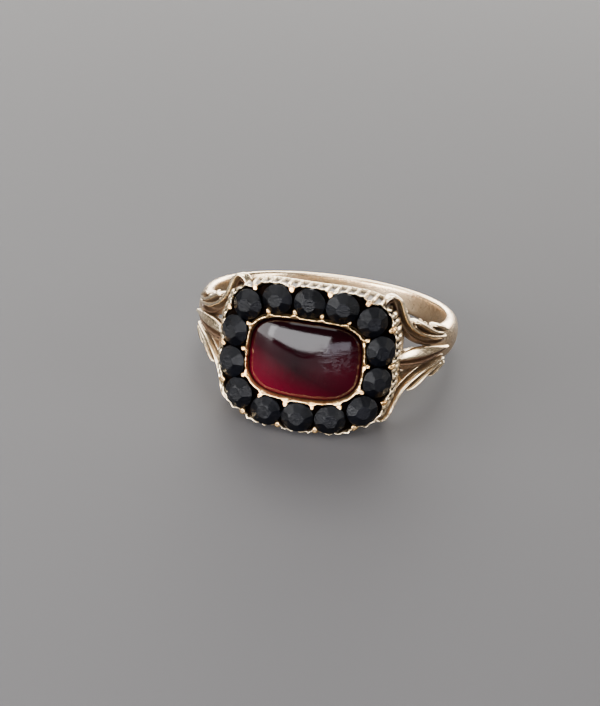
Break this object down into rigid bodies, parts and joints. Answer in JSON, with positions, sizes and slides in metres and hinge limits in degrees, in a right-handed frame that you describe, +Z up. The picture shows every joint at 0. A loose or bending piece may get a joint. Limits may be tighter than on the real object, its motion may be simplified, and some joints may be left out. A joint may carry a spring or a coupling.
{
  "type": "cabochon ring",
  "caption": "Gold cluster ring lying on its side: cushion garnet cabochon in a raised collet, ringed by small black cut stones in a ribbed curved bezel, with leaf shoulders.",
  "frame": {"origin": "the centre of the finger hole, on its axis at the middle of the shank's width", "axes": "+Z up from the table that the ring lies on, -Y towards the bezel, +X across the shoulders; the finger hole's axis leans 12 degrees from +Z towards +Y"},
  "size_m": [0.019, 0.0225, 0.0106],
  "materials": {
    "gold": "worn polished yellow gold, darkened in the crevices",
    "garnet": "polished deep red cabochon with fine scratches",
    "black_stone": "cut and polished, worn and scratched"
  },
  "bodies": {
    "root": {"ring_mount": "gold", "garnet": "garnet", "stone_01": "black_stone", "stone_02": "black_stone", "stone_03": "black_stone", "stone_04": "black_stone", "stone_05": "black_stone", "stone_06": "black_stone", "stone_07": "black_stone", "stone_08": "black_stone", "stone_09": "black_stone", "stone_10": "black_stone", "stone_11": "black_stone", "stone_12": "black_stone", "stone_13": "black_stone", "stone_14": "black_stone"}
  },
  "joints": []
}
